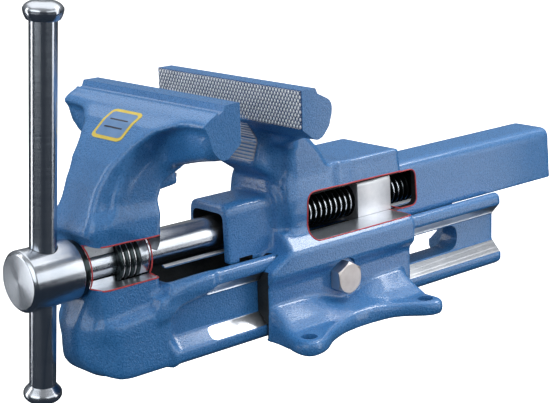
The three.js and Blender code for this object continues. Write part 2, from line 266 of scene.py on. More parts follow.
def node(tree, kind, links=None, **values):
    """A node with its plain inputs set by index or name, and others linked."""
    made = tree.nodes.new(f"ShaderNode{kind}")
    for key, value in values.items():
        setattr(made, key, value)
    for key, source in (links or {}).items():
        if hasattr(source, "is_output"):
            tree.links.new(source, made.inputs[key])
        else:
            made.inputs[key].default_value = source
    return made


def per_metre(tree, size_mm):
    """The noise scale whose detail has a size in millimetres."""
    return node(tree, "Math", {0: 1 / MM, 1: size_mm}, operation="DIVIDE").outputs[0]


def grain_group():
    group = bpy.data.node_groups.new("surface_grain", "ShaderNodeTree")
    socket(group, "Pitch", "Float", "INPUT", 1.2)
    socket(group, "Cloud size", "Float", "INPUT", 18.0)
    socket(group, "Height", "Float", "OUTPUT")
    socket(group, "Speck", "Float", "OUTPUT")
    socket(group, "Cloud", "Float", "OUTPUT")
    entry, leave = group.nodes.new("NodeGroupInput"), group.nodes.new("NodeGroupOutput")
    place = node(group, "TexCoord").outputs["Object"]
    fine_scale = per_metre(group, entry.outputs["Pitch"])
    cloud_scale = per_metre(group, entry.outputs["Cloud size"])
    fine = node(group, "TexNoise", {"Vector": place, "Scale": fine_scale, "Detail": 3.0, "Roughness": 0.55})
    specks = node(group, "TexVoronoi", {"Vector": place, "Scale": fine_scale, "Randomness": 1.0})
    cloud = node(group, "TexNoise", {"Vector": place, "Scale": cloud_scale, "Detail": 4.0, "Roughness": 0.6})
    dimple = node(group, "Math", {0: specks.outputs["Distance"], 1: 0.45}, operation="MULTIPLY")
    height = node(group, "Math", {0: fine.outputs["Fac"], 1: dimple.outputs[0]}, operation="ADD")
    group.links.new(height.outputs[0], leave.inputs["Height"])
    group.links.new(specks.outputs["Distance"], leave.inputs["Speck"])
    group.links.new(cloud.outputs["Fac"], leave.inputs["Cloud"])
    return group


def tool_marks_group():
    group = bpy.data.node_groups.new("tool_marks", "ShaderNodeTree")
    socket(group, "Axis", "Vector", "INPUT", (1.0, 0.02, 0.02))
    socket(group, "Pitch", "Float", "INPUT", 0.25)
    socket(group, "Height", "Float", "OUTPUT")
    socket(group, "Band", "Float", "OUTPUT")
    entry, leave = group.nodes.new("NodeGroupInput"), group.nodes.new("NodeGroupOutput")
    place = node(group, "TexCoord").outputs["Object"]
    along = node(group, "VectorMath", {0: place, 1: entry.outputs["Axis"]}, operation="MULTIPLY")
    scale = per_metre(group, entry.outputs["Pitch"])
    lines = node(group, "TexNoise", {"Vector": along.outputs[0], "Scale": scale, "Detail": 2.0})
    wide = node(group, "TexNoise", {"Vector": along.outputs[0], "Scale": 90.0, "Detail": 3.0})
    group.links.new(lines.outputs["Fac"], leave.inputs["Height"])
    group.links.new(wide.outputs["Fac"], leave.inputs["Band"])
    return group


GRAIN, TOOL_MARKS = grain_group(), tool_marks_group()
print("node groups:", GRAIN.name, TOOL_MARKS.name)


# %% [markdown]
# Each finish is one Principled shader. Numbers that are the same all over are set on the shader itself,
# and only what changes over the surface is linked: colour, roughness and the bumped normal.

# %% Finish helpers
def finish(name, **settings):
    material = bpy.data.materials.new(name)
    material.use_nodes = True
    shader = material.node_tree.nodes["Principled BSDF"]
    for key, value in settings.items():
        shader.inputs[key.replace("_", " ")].default_value = value
    return material, material.node_tree, shader


def group_node(tree, group, **values):
    """Places a node group in a material with its own values."""
    made = node(tree, "Group", node_tree=group)
    for key, value in values.items():
        made.inputs[key.replace("_", " ")].default_value = value
    return made


def blend(tree, mask, low, high, dark, light):
    """A colour that goes from dark to light as the mask goes from low to high."""
    ramp = node(tree, "ValToRGB", {"Fac": mask})
    ramp.color_ramp.elements[0].position, ramp.color_ramp.elements[1].position = low, high
    ramp.color_ramp.elements[0].color, ramp.color_ramp.elements[1].color = (*dark, 1), (*light, 1)
    return ramp.outputs["Color"]


def spread(tree, mask, low, high, least, most):
    made = node(tree, "MapRange", {"Value": mask, 1: low, 2: high, 3: least, 4: most})
    return made.outputs[0]


def bump(tree, shader, height, strength, depth):
    made = node(tree, "Bump", {"Height": height, "Strength": strength, "Distance": depth * MM})
    tree.links.new(made.outputs["Normal"], shader.inputs["Normal"])


def grained(name, sizes, dark, light, wear, relief, shade=("Cloud", 0.3, 0.7), **settings):
    """A finish that one grain drives: the colour, the roughness and the bump all follow its masks.

    sizes are the grain's pitch and cloud in mm, wear is (mask, low, high, least, most) for the
    roughness, relief is the bump's strength and depth, and shade is the mask behind the colour.
    """
    material, tree, shader = finish(name, **settings)
    skin = group_node(tree, GRAIN, Pitch=sizes[0], Cloud_size=sizes[1])
    colour = blend(tree, skin.outputs[shade[0]], *shade[1:], dark, light)
    tree.links.new(colour, shader.inputs["Base Color"])
    tree.links.new(spread(tree, skin.outputs[wear[0]], *wear[1:]), shader.inputs["Roughness"])
    bump(tree, shader, skin.outputs["Height"], *relief)
    return material


# %% [markdown]
# The jaws are drop forged, shot blasted and dipped in thick blue enamel. The blasted skin shows through
# as shallow dimples a millimetre or two apart, which break every highlight into sparks. A hammered
# paint could be made with a displaced mesh, but at this size a bump keeps the meshes light.

# %% Blue enamel, its bare faces, and a near-black painted shade
ENAMEL = grained("blue_enamel", (0.95, 26.0), (0.024, 0.145, 0.390), (0.054, 0.235, 0.550),
                 ("Speck", 0.1, 0.7, 0.20, 0.44), (0.95, 0.38), shade=("Height", 0.45, 0.95),
                 Specular_IOR_Level=0.5, Coat_Weight=0.6, Coat_Roughness=0.12)
MILLED = grained("milled_face", (0.7, 14.0), (0.66, 0.70, 0.75), (0.84, 0.87, 0.92),
                 ("Height", 0.4, 1.0, 0.26, 0.40), (0.15, 0.05), Metallic=1.0)
# Near-black for bores, windows, the trough and the bell's front face: painted shade where those faces lie in
# shadow, not a finish of the metal.
SHADE_BLACK = grained("painted_shade_black", (1.1, 12.0), (0.006, 0.008, 0.010), (0.016, 0.021, 0.024),
                ("Speck", 0.1, 0.8, 0.5, 0.75), (0.3, 0.2), Specular_IOR_Level=0.35)
FORGED = (ENAMEL, MILLED, SHADE_BLACK)
TO_ENAMEL, TO_MILLED, TO_SHADE_BLACK = 0, 1, 2
print("forged finishes:", [material.name for material in FORGED])

# %% [markdown]
# The spindle head and the handle are turned bright. The rings that the tool leaves run round the axis,
# so a highlight is drawn out along the bar and fans out on the flat end. Anisotropic reflection with a
# tangent that circles the axis gives exactly that, and the tool marks add the fine lines.

# %% Turned steel, blackened steel, plate and nut
def turned_steel(name, axis, tangent):
    material, tree, shader = finish(name, Metallic=1.0, Anisotropic=0.6, Anisotropic_Rotation=0.25)
    marks = group_node(tree, TOOL_MARKS, Axis=axis, Pitch=0.45)
    colour = blend(tree, marks.outputs["Band"], 0.3, 0.7, (0.50, 0.54, 0.60), (0.58, 0.61, 0.66))
    tree.links.new(colour, shader.inputs["Base Color"])
    tree.links.new(spread(tree, marks.outputs["Height"], 0.3, 0.7, 0.20, 0.27), shader.inputs["Roughness"])
    bump(tree, shader, marks.outputs["Height"], 0.02, 0.01)
    around = node(tree, "Tangent", direction_type="RADIAL", axis=tangent)
    tree.links.new(around.outputs[0], shader.inputs["Tangent"])
    return material


def worn_metal(name, dark, light, least, most, pitch, metallic=1.0):
    return grained(name, (pitch, 9.0), dark, light, ("Height", 0.3, 1.0, least, most), (0.2, 0.04),
                   Metallic=metallic)


SPINDLE_STEEL = turned_steel("turned_steel_along_x", (1.0, 0.02, 0.02), "X")
HANDLE_STEEL = turned_steel("turned_steel_along_z", (0.02, 0.02, 1.0), "Z")
BLACKED = worn_metal("blackened_steel", (0.030, 0.042, 0.044), (0.055, 0.070, 0.073), 0.14, 0.24, 0.8, 0.9)
GROUND = worn_metal("ground_ring", (0.55, 0.56, 0.58), (0.75, 0.75, 0.77), 0.15, 0.28, 0.5)
NUT_STEEL = worn_metal("milled_nut", (0.70, 0.72, 0.76), (0.86, 0.87, 0.90), 0.38, 0.55, 0.6)
ZINC = worn_metal("zinc_plate", (0.66, 0.60, 0.58), (0.82, 0.77, 0.75), 0.30, 0.44, 0.9)
print("finishes:", len(bpy.data.materials))

# %% [markdown]
# A forging has no sharp inside corner: metal flows into every joint, so walls meet in a fillet. Such a
# body is hard to model edge by edge. Here it is a distance field instead, a grid of numbers that say how
# far each point is from the surface. Two walls are joined with a smooth minimum, which leaves the fillet,
# and an edge is rounded with a smooth maximum. OpenVDB then turns the zero level into a mesh.

# %% Distance fields
STEP = 1.0
BAND = 3.0


class Field:
    """A box of grid points in workshop millimetres, and the walls that a forging is built from."""

    def __init__(self, low, high):
        self.low = np.array(low, float)
        counts = np.ceil((np.array(high) - self.low) / STEP).astype(int) + 1
        x, y, z = (self.low[i] + STEP * np.arange(counts[i], dtype=np.float32) for i in range(3))
        self.x = x[:, None, None].astype(np.float32)
        self.y = y[None, :, None].astype(np.float32)
        self.z = z[None, None, :].astype(np.float32)

    def slab(self, along, low, high):
        return np.maximum(low - along, along - high)

    def side(self, corners, y0, y1, edge=2.0):
        return smax(flat_distance(rounded(corners), self.x, self.z), self.slab(self.y, y0, y1), edge)

    def end(self, corners, x0, x1, edge=2.0):
        return smax(flat_distance(rounded(corners), self.y, self.z), self.slab(self.x, x0, x1), edge)

    def plan(self, corners, z0, z1, edge=2.0):
        return smax(flat_distance(rounded(corners), self.x, self.y), self.slab(self.z, z0, z1), edge)

    def mesh(self, name, distance, materials):
        grid = openvdb.FloatGrid(BAND)
        grid.copyFromArray(np.ascontiguousarray(np.clip(distance, -BAND, BAND), dtype=np.float32))
        points, triangles, quads = grid.convertToPolygons(isovalue=0.0, adaptivity=0.0)
        made = piece(name, points * STEP + self.low, triangles.tolist() + quads.tolist(), materials)
        outward(made)
        return made


def flat_distance(points, u, v):
    """Signed distance of a grid of flat points to a closed outline; negative inside."""
    corners = np.array(points, np.float32)
    nearest = np.float32(1e9)
    inside = False
    for (a0, a1), (b0, b1) in zip(corners, np.roll(corners, -1, axis=0)):
        e0, e1 = b0 - a0, b1 - a1
        length = e0 * e0 + e1 * e1
        if length < 1e-9:
            continue
        t = np.clip(((u - a0) * e0 + (v - a1) * e1) / length, 0, 1)
        nearest = np.minimum(nearest, (u - a0 - t * e0) ** 2 + (v - a1 - t * e1) ** 2)
        if abs(e1) > 1e-9:
            crosses = ((a1 > v) != (b1 > v)) & (u < e0 * (v - a1) / e1 + a0)
            inside = np.logical_xor(inside, crosses)
    return np.where(inside, -1, 1).astype(np.float32) * np.sqrt(nearest)


def smax(a, b, width):
    h = np.maximum(width - np.abs(a - b), 0) / width
    return np.maximum(a, b) + h * h * (width / 4)


def smin(a, b, width):
    return -smax(-a, -b, width)


# %% [markdown]
# Both jaws share the bar that the workpiece is clamped between. Its clamping face is set back by the
# depth of the teeth, which are made later. Under the bar sits the grip for pipes. The forging stands
# a little proud at the top and the ends of the bar, as stock for the mill.

# %% Outlines that both jaws share
HALF_WIDTH, STOCK, TEETH = 60.0, 1.5, 0.9
JAW_TOP = span("fixed_jaw_body")[1][2]
JAW_BAR = [
    (TEETH, 62.6), (TEETH, JAW_TOP + STOCK), (13, JAW_TOP + STOCK), (15, 79), (20.4, 76.3, 2.2),
    (22.3, 73, 2.2), (19, 62.8), (15, 57, 2.5), (10.5, 55.6, 2.5),
]
JAW_LAND = [(-5, JAW_TOP), (10.5, JAW_TOP), (11.9, 80.5), (15.2, 78.95), (15.2, 95), (-5, 95)]
JAW_END = [(-5, 50), (-5, 95), (40, 95), (40, 50)]
PIPE_GRIP = [(1.4, 62.8), (8.9, 50, 2), (4.9, 38.6, 0.8), (5.2, 35.3, 1)]


def front(corners):
    """The same outline on the front jaw, which faces the other way across the opening."""
    return [(-OPENING - c[0], *c[1:]) for c in corners]


def machine_bar(jaw, side_of):
    """Mills the raised land along the top of a jaw bar and squares both ends."""
    machine(jaw, side_prism("land", side_of(JAW_LAND), -80, 80))
    for start, stop in ((-80, -HALF_WIDTH), (HALF_WIDTH, 80)):
        machine(jaw, side_prism("end", side_of(JAW_END), start, stop))


print("jaw bar, mm wide:", 2 * HALF_WIDTH)


# %% [markdown]
# The fixed jaw body is one forging: a bar on a neck, an anvil behind it, a bell that guides the rail, a
# flange with four bolt holes, and the long channel that covers the spindle. The walls are listed from the
# bar down, and the width after each name is the fillet that the joint gets.

# %% Fixed jaw body as forged
def bolt_line():
    low, high = span("guide_tie_bolt")
    return (low[0] + high[0]) / 2, (low[2] + high[2]) / 2


BOLT_X, BOLT_Z = bolt_line()
FOOT = [
    (4, 25), (2.5, 35, 4), (-4.5, 54, 6), (-3.5, 66, 7), (10, 66, 8), (24, 56, 6), (36, 51.5, 6),
    (56, 46, 12), (79, 52, 8), (91, 64, 6), (97, 66, 5), (105.5, 65, 8), (105.5, 25),
]
BASE_Z, PAD_TOP, BOLT_DIP = -60, -51, 6.5
SLOPE_SHARE = 0.86


def fixed_forging():
    low, high = span("fixed_jaw_body")
    field = Field(low - 4, high + 4)
    bar = field.side(JAW_BAR, -HALF_WIDTH - STOCK, HALF_WIDTH + STOCK, 0.6)
    haunch = field.end(mirrored([(57, 68), (57, 59.5, 4), (24, 47)]), 15.5, 24.5, 4)
    neck_outline = [
        (23.5, 8), (23.5, 60), (19, 66), (22, 70), (30, 58, 4), (40, 48.5, 6),
        (49, 39.5, 4), (55, 29, 4), (66, 24), (66, 8),
    ]
    neck = field.side(neck_outline, -24, 24, 5)
    anvil = field.end(mirrored([(23.4, 30, 1.5), (25.6, 16, 6), (26, -14)]), 60, 111, 3)
    middle = field.end(mirrored([(22, 24, 3), (25.6, 14, 5), (26, -14)]), 22, 64, 4)
    collar = field.end(mirrored([(14, 25, 8), (20.5, 16, 4), (20.6, -14)]), 16.5, 28, 3)
    column = field.plan([(17.6, -19, 7), (17.6, 19, 7), (32, 19), (32, -19)], 12, 60, 2)
    grip = field.side([*PIPE_GRIP, (14, 29.5, 3), (19, 27), (26, 27), (26, 60), (12, 66)], -16, 16, 4)
    bell_half = [(24, -3), (34, -12, 2), (34, -24, 1.6), (30, -28.6, 1.6), (30, BASE_Z)]
    bell = field.end(mirrored(bell_half), 0, 112.5, 1.5)
    mouth = [(-9, -19.5), (0, -19.5), (9.5, -14, 3), (14.5, -11.5, 2), (16.5, -2), (16.5, 20), (-9, 20)]
    bell = smax(bell, -flat_distance(rounded(mouth), field.x, field.z), 2)
    outward_y = np.abs(field.y)
    crease = -40.6 - BOLT_DIP * np.exp(-((field.x - BOLT_X) / 17.0) ** 2)
    share = (outward_y - 31.5) / 14.5
    skirt = (field.z - crease - share * (-50.8 - crease)) * SLOPE_SHARE
    skirt = smax(skirt, field.slab(outward_y, -1, 46.5), 3)
    skirt = smax(skirt, field.slab(field.x, 1.0, 106), 5)
    core = smin(neck, smin(anvil, middle, 5), 9)
    wall = np.interp(field.z.ravel(), [14, 26], [25.8, 24.0]).astype(np.float32)
    core = smax(core, np.abs(field.y) - wall[None, None, :], 3)
    core = smin(core, smin(column, collar, 3), 4)
    body = smin(smin(bar, haunch, 7), core, 8)
    body = smin(body, grip, 4)
    body = smin(body, smin(bell, skirt, 1.2), 3)
    for s in (-1, 1):
        foot = [(x, s * y, *radius) for x, y, *radius in FOOT]
        body = smin(body, field.plan(foot, BASE_Z, PAD_TOP, 4), 4)
    body = smax(body, BASE_Z - field.z, 1.0)
    channel = field.end(mirrored([(15.2, 18, 6), (17.4, -14.6)]), low[0], high[0], 1.6)
    return field.mesh("fixed_jaw_forging", smin(body, channel, 3), FORGED)


fixed_body = fixed_forging()
print("fixed forging, faces:", len(fixed_body.data.polygons))

# %% [markdown]
# After forging the body is machined. The guide and the channel are hollowed, the two windows are cut,
# and the bolts get holes and spot faces. These edges are crisp, so they are cut with closed tools.

# %% Fixed jaw body as machined
WINDOW_FRONT, WINDOW_LOW, WINDOW_TOP = 35, -9.0, 17.2
CHANNEL_END, CHANNEL_LOW, CHANNEL_TOP = 131.4, -8.4, 12.8
BOLT = (BOLT_X, 0, BOLT_Z)
BOLT_HOLE_R, SPOT_FACE_R, LUG_HOLE_R = 5.3, 11.5, 4.5
GUIDE = [
    (18, -14.6), (18, -13), (26.2, -13), (26.8, -19.6), (20.4, -26.7), (20.4, -43.2),
    (27.8, -50.6), (27.8, -64),
]
NUT_WINDOW = [(WINDOW_FRONT, -4), (WINDOW_FRONT, WINDOW_TOP, 7), (118, WINDOW_TOP - 1), (118, -4)]
LEDGE = [(WINDOW_FRONT, WINDOW_LOW, 5), (WINDOW_FRONT, -3.95), (118, -3.95), (118, WINDOW_LOW)]
CHANNEL_WINDOW = [(110, CHANNEL_LOW), (110, CHANNEL_TOP), (CHANNEL_END, CHANNEL_TOP, 5),
                  (CHANNEL_END, CHANNEL_LOW, 5)]

machine_bar(fixed_body, list)
# The cut faces of the guide and the channel bore take the near-black painted shade.
for name, half, start, stop in (
    ("guide", GUIDE, -12, 125),
    ("channel_bore", [(12.6, 13, 4), (13.4, -22)], -30, 300),
):
    machine(fixed_body, end_prism(name, mirrored(half), start, stop), face_material=TO_SHADE_BLACK)
# The window walls take the near-black painted shade; the ledge is milled bright.
for name, window, depth, surface in (
    ("nut_window", NUT_WINDOW, -12, TO_SHADE_BLACK),
    ("channel_window", CHANNEL_WINDOW, -12, TO_SHADE_BLACK),
    ("window_ledge", LEDGE, -12.05, TO_MILLED),
):
    machine(fixed_body, side_prism(name, window, -60, depth), face_material=surface)
# Squares the bell's front face and colours it near-black as painted shade.
bell_face = end_prism("bell_face", mirrored([(30.5, -12), (29, -58)]), -9, 0.5)
machine(fixed_body, bell_face, face_material=TO_SHADE_BLACK)
machine(fixed_body, drill("bolt_hole", BOLT, Y_AXIS, -60, 60, BOLT_HOLE_R))
for start, stop in ((-70, -30), (30, 70)):
    machine(fixed_body, drill("spot_face", BOLT, Y_AXIS, start, stop, SPOT_FACE_R))
for x in (5, 96):
    for y in (-56.5, 56.5):
        machine(fixed_body, drill("lug_hole", (x, y, 0), Z_AXIS, -70, -20, LUG_HOLE_R))
smooth(fixed_body)
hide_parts("fixed_jaw_body")
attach(fixed_body, "fixed_body")
print("fixed body, faces:", len(fixed_body.data.polygons))

# %% [markdown]
# The front jaw is a forging as well: the bar runs out of a broad flange that narrows down to the boss,
# a thinner web stands behind it, and the rail grows out of the block under the boss. The valley between
# flange and web is nothing but the fillet of two walls that differ in width.

# %% Front jaw as forged
ARM_FRONT = [
    (-51.4, 80.6), (-62, 76.4), (-72, 71), (-82, 62.5), (-90, 54), (-96.5, 43.5), (-101, 33), (-104.5, 20),
]
THROAT = [
    (-65, -16), (-65, 14, 6), (-63.4, 27, 6), (-60, 36, 5), (-54, 42.6, 5), (-46.5, 46.2),
    (-30, 46.8), (-30, -16),
]
WAIST = [(-61.5, -43), (-58, -33, 4), (-50, -27.2, 4), (220, -27.2), (220, -43)]
FLANGE_TOP_FAR = -19


def front_forging():
    low, high = span("moving_jaw_slide")
    field = Field(low - 4, high + 4)
    bar = field.side(front(JAW_BAR), -HALF_WIDTH - STOCK, HALF_WIDTH + STOCK, 0.6)
    haunch = field.end(mirrored([(57, 68), (57, 57, 4), (20, 47)]), -60, -49.5, 6)
    inner = [(-92, 20), (-86, 40, 6), (-79, 51, 6), (-70, 58.5, 6), (-60, 62), (-50, 64)]
    flange_side = [*ARM_FRONT, *inner]
    wide = HALF_WIDTH + STOCK
    flange_view = mirrored([
        (wide, 84), (wide, 73.2), (48, 73, 6), (34, 70.5, 8), (24.5, 64, 8), (19.5, 54, 8),
        (16.5, 43, 8), (16.5, 15),
    ])
    flange = smax(
        flat_distance(rounded(flange_side), field.x, field.z),
        flat_distance(rounded(flange_view), field.y, field.z),
        5,
    )
    web_outline = [
        (-60, 68), (-75, 60), (-84, 50), (-90, 38), (-93, 24), (-64.6, 10), (-64.4, 45, 21),
        (-42, 46.4), (-42, 66),
    ]
    web = field.side(web_outline, -20.5, 20.5, 2.5)
    boss_plan = [(-64, -20.5), (-64, 20.5), (-104, 20.5, 8), (-104, -20.5, 8)]
    boss_side = [(-104.2, -40), (-104.2, 22), (-97, 31), (-64, 24.5), (-64, -40)]
    boss = smax(field.plan(boss_plan, -34, 26, 6), flat_distance(boss_side, field.x, field.z), 4)
    block_side = [(-62, -24), (-62, -58), (-92, -58, 5), (-106.5, -54.5, 10), (-106.5, -29, 5)]
    block = field.side(block_side, -26, 26, 4)
    block_plan = [(-55, -26), (-55, 26), (-95, 26, 6), (-106.5, 14, 4), (-106.5, -14, 4), (-95, -26, 6)]
    block = smax(block, flat_distance(rounded(block_plan), field.x, field.y), 3)
    nose = field.side([(-98, -20), (-96, -57.5), (-109, -50, 9), (-109, -27, 6), (-103, -16)], -10, 10, 5)
    grip_side = [*front(PIPE_GRIP), (-54, 34.2, 2), (-59, 33.8), (-67, 38), (-67, 52), (-50, 66)]
    grip = field.side(grip_side, -13, 13, 2.5)
    rail_half = [
        (20, -13.4), (23, -12.4, 1.5), (26, -14.4, 1.5), (26.4, -19.5, 1), (20, -26.8), (20, -43.1),
        (27.4, -50.8, 0.8), (27.2, -55.6, 1), (24.5, -58),
    ]
    rail = field.end(mirrored(rail_half), -63, high[0], 1.6)
    rail = smax(rail, np.minimum(field.z - FLANGE_TOP_FAR, field.y - 0.5), 1.2)
    ridge = field.side([(-70, -20), (-48.7, -14.4, 9), (-34, -14.4), (-34, -22), (-70, -30)], -26.2, 26.2, 3)
    panel = field.side([(-62, -26), (-30, -26), (-30, -58), (-62, -58)], -26.2, 26.2, 3)
    trough_half = [(20.5, -8), (19, -16, 2), (17, -22, 3), (9, -30, 4), (6.5, -38, 3), (5.5, -46)]
    trough = field.end(mirrored(trough_half), -60, high[0] + 8, 3)
    body = smin(bar, haunch, 6)
    body = smin(body, flange, 4)
    body = smin(body, web, 7)
    body = smin(body, boss, 9)
    body = smax(body, -flat_distance(rounded(THROAT), field.x, field.z), 2.5)
    body = smin(body, grip, 3)
    foot = smin(block, nose, 6)
    body = smin(body, foot, 6)
    waist = np.minimum(field.side(WAIST, 20, 60, 3), field.side(WAIST, -60, -20, 3))
    ramp = smax(ridge, -waist, 3)
    body = smin(body, ramp, 6)
    body = smin(body, rail, 4)
    body = smax(body, -trough, 2)
    return field.mesh("front_jaw_forging", body, FORGED)


front_jaw = front_forging()
print("front forging, faces:", len(front_jaw.data.polygons))

# %% [markdown]
# Machining opens the long slot through the rail, bores the boss for the spindle and its springs, cuts
# the window beside them, and mills the four prism faces bright.

# %% Front jaw as machined
SPRING_WINDOW = (-9.0, 13.5)
BOSS_FRONT, BOSS_REAR = -104.0, -64.0
rail_rear = span("moving_jaw_slide")[1][0]
machine_bar(front_jaw, front)
window_low, window_top = SPRING_WINDOW
milled_trough = [(20.7, -8), (19.2, -16, 2), (17.3, -22, 3), (9.3, -30.2, 4), (6.8, -38.2, 3), (5.8, -46.3)]
flange_top = [(0.3, FLANGE_TOP_FAR - 0.3), (40, FLANGE_TOP_FAR - 0.3), (40, -8), (0.3, -8)]
slot_front = [(8, -43, 8), (8, -27, 8)]
near_slot = [*slot_front, (164.4, -27, 8), (164.4, -43, 8)]
far_slot = [*slot_front, (190, -27, 8), (190, -70), (138, -70), (138, -43)]
window = [(BOSS_FRONT - 2, window_low), (BOSS_FRONT - 2, window_top),
          (-65.5, window_top), (-65.5, window_low)]
# The trough and both bores take the near-black painted shade on their cut faces.
for cutter, surface in (
    (end_prism("trough", mirrored(milled_trough), -57, 230), TO_SHADE_BLACK),
    (end_prism("far_flange_top", flange_top, -33, 230), TO_MILLED),
    (side_prism("near_slot", near_slot, -40, 0), TO_ENAMEL),
    (side_prism("far_slot", far_slot, -2, 40), TO_ENAMEL),
    (drill("front_bore", (0, 0, 0), X_AXIS, BOSS_FRONT - 8, -80, 10.6), TO_SHADE_BLACK),
    (drill("spring_bore", (0, 0, 0), X_AXIS, -85.6, BOSS_REAR + 30, 14.3), TO_SHADE_BLACK),
    (side_prism("spring_window", window, -60, -8.5), TO_MILLED),
):
    machine(front_jaw, cutter, face_material=surface)


def mill_prism_face(s, top, foot, start, trim=0.35):
    """Mills one sloping face of the rail, from a rounded start to the rear end."""
    a, b = Vector((0, s * top[0], top[1])), Vector((0, s * foot[0], foot[1]))
    down = (b - a).normalized()
    out = Vector((0, s, 0)) - down * down.dot(Vector((0, s, 0)))
    out.normalize()
    width = (b - a).length
    low, high, rear = 0.9, width - 0.9, rail_rear + 9
    corners = [(start, low, 4), (start, high, 4), (rear, high), (rear, low)]
    tool = prism("mill", corners, 6, a - out * trim, X_AXIS, down, out)
    machine(front_jaw, tool, face_material=TO_MILLED)


for s in (-1, 1):
    mill_prism_face(s, (20, -43.1), (27.4, -50.8), -37)
    mill_prism_face(s, (26.4, -19.5), (20, -26.8), -37)
smooth(front_jaw)
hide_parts("moving_jaw_slide")
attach(front_jaw, "front_jaw")
print("front jaw, faces:", len(front_jaw.data.polygons))

# %% [markdown]
# The clamping faces are cut with two families of slanting grooves, which leave rows of tall diamond
# teeth. The teeth are real geometry: a fine sheet whose height is the lower of two groove waves, closed
# behind. The crests are rubbed bare and the valleys keep the enamel, so each point also stores how
# close it is to the crest, and the finish reads that. The bare crests are coloured near-white, a painted
# highlight in place of the steel's reflection, and the valleys a navy darker than the enamel, painted shade.

# %% Bare crests with a painted highlight, over enamel darkened as painted shade
def toothed_finish():
    material, tree, shader = finish("teeth_bare_and_painted_light")
    crest = node(tree, "Attribute", attribute_name="crest").outputs["Fac"]
    skin = group_node(tree, GRAIN, Pitch=0.8, Cloud_size=10.0)
    uneven = spread(tree, skin.outputs["Cloud"], 0.3, 0.7, 0.75, 1.0)
    product = node(tree, "Math", {0: crest, 1: uneven}, operation="MULTIPLY", use_clamp=True)
    bare_and_glint = product.outputs[0]
    # Navy darker than the enamel is painted shade in the valleys; near-white on the bare crests is a painted
    # highlight.
    colour = blend(tree, bare_and_glint, 0.2, 0.6, (0.012, 0.060, 0.190), (0.90, 0.93, 0.97))
    tree.links.new(colour, shader.inputs["Base Color"])
    tree.links.new(spread(tree, bare_and_glint, 0.3, 0.8, 0.0, 0.05), shader.inputs["Metallic"])
    tree.links.new(spread(tree, skin.outputs["Height"], 0.3, 1.0, 0.35, 0.5), shader.inputs["Roughness"])
    bump(tree, shader, skin.outputs["Height"], 0.2, 0.05)
    return material


def store_crest(made, values):
    """Stores on every point how close it is to a crest."""
    store = made.data.attributes.new("crest", "FLOAT", "POINT")
    store.data.foreach_set("value", values)


TEETH_BARE_AND_PAINTED_LIGHT = toothed_finish()
TOOTH_WIDE, TOOTH_TALL = 2.4, 3.9
FACE_LOW = 62.9
print("tooth, mm:", TOOTH_WIDE, "by", TOOTH_TALL)


# %% Diamond teeth
def toothed_face(name, plane, facing):
    """Diamond teeth over a clamping face at x = plane; facing is the way the crests point along X."""
    y = np.arange(-HALF_WIDTH + 0.3, HALF_WIDTH - 0.29, 0.36)
    z = np.linspace(FACE_LOW, JAW_TOP - 0.15, 60)
    grid_y, grid_z = np.meshgrid(y, z, indexing="ij")
    crests = []
    for slope in (1, -1):
        phase = grid_y / TOOTH_WIDE + slope * grid_z / TOOTH_TALL
        crests.append(np.abs(2 * (phase - np.floor(phase)) - 1))
    height = np.clip((np.minimum(*crests) - 0.12) / 0.42, 0, 1)
    rim = np.zeros_like(height, bool)
    rim[[0, -1], :] = rim[:, [0, -1]] = True
    height[rim] = 0
    x = plane - facing * TEETH * 0.9 * (1 - height)
    front_points = np.stack([x, grid_y, grid_z], axis=-1).reshape(-1, 3)
    index, quads = grid_quads(*grid_y.shape)
    loop = [*index[:, 0], *index[-1, 1:], *index[-2::-1, -1], *index[0, -2:0:-1]]
    behind = front_points[loop].copy()
    behind[:, 0] = plane - facing * 2.2
    base, count = index.size, len(loop)
    walls = [(loop[i], loop[(i + 1) % count], base + (i + 1) % count, base + i) for i in range(count)]
    faces = quads + walls + [tuple(range(base, base + count))]
    made = piece(name, np.vstack([front_points, behind]), faces, (TEETH_BARE_AND_PAINTED_LIGHT,), sharp=50)
    outward(made)
    store_crest(made, np.append(height.reshape(-1), np.zeros(count)).astype(np.float32))
    return made


fixed_teeth = toothed_face("fixed_jaw_teeth", 0.0, -1)
front_teeth = toothed_face("front_jaw_teeth", -OPENING, 1)
print("teeth, faces:", len(fixed_teeth.data.polygons) + len(front_teeth.data.polygons))

# %% [markdown]
# The pipe grips have plain horizontal ridges, like a coarse file. Their side view is a zigzag along the
# two slopes of the grip, and the teeth are that outline extruded across the jaw.

# %% Pipe grip teeth
def pipe_teeth(name, side_of, half):
    path = [Vector((0.9, 61.6)), Vector((8.3, 50.0)), Vector((4.4, 39.2))]
    crest, root = [], []
    for start, stop in zip(path, path[1:]):
        along = (stop - start).normalized()
        into = Vector((-along.y, along.x))
        into = into if into.x > 0 else -into
        count = round((stop - start).length / 1.9)
        for i in range(count):
            at = start.lerp(stop, i / count)
            crest += [tuple(at), tuple(start.lerp(stop, (i + 0.5) / count) + into * 0.9)]
            root.append(tuple(at + into * 2.6))
    crest.append(tuple(path[-1]))
    root.append(tuple(path[-1] + Vector((2.6, 0.3))))
    outline = side_of([*crest, *reversed(root)])
    made = side_prism(name, outline, -half, half, (TEETH_BARE_AND_PAINTED_LIGHT,))
    smooth(made, 20)
    peaks = {tuple(np.round(p[:2], 3)) for p in side_of(crest[::2])}
    values = []
    for vertex in made.data.vertices:
        at = (np.array(vertex.co) - np.array(ZERO)) / MM
        near = any(abs(at[0] - u) < 0.02 and abs(at[2] - w) < 0.02 for u, w in peaks)
        # 0.6 at a peak lifts it towards the painted highlight; 0.3 leaves the rest in the darker navy of painted
        # shade.
        values.append(0.6 if near else 0.3)
    store_crest(made, values)
    return made


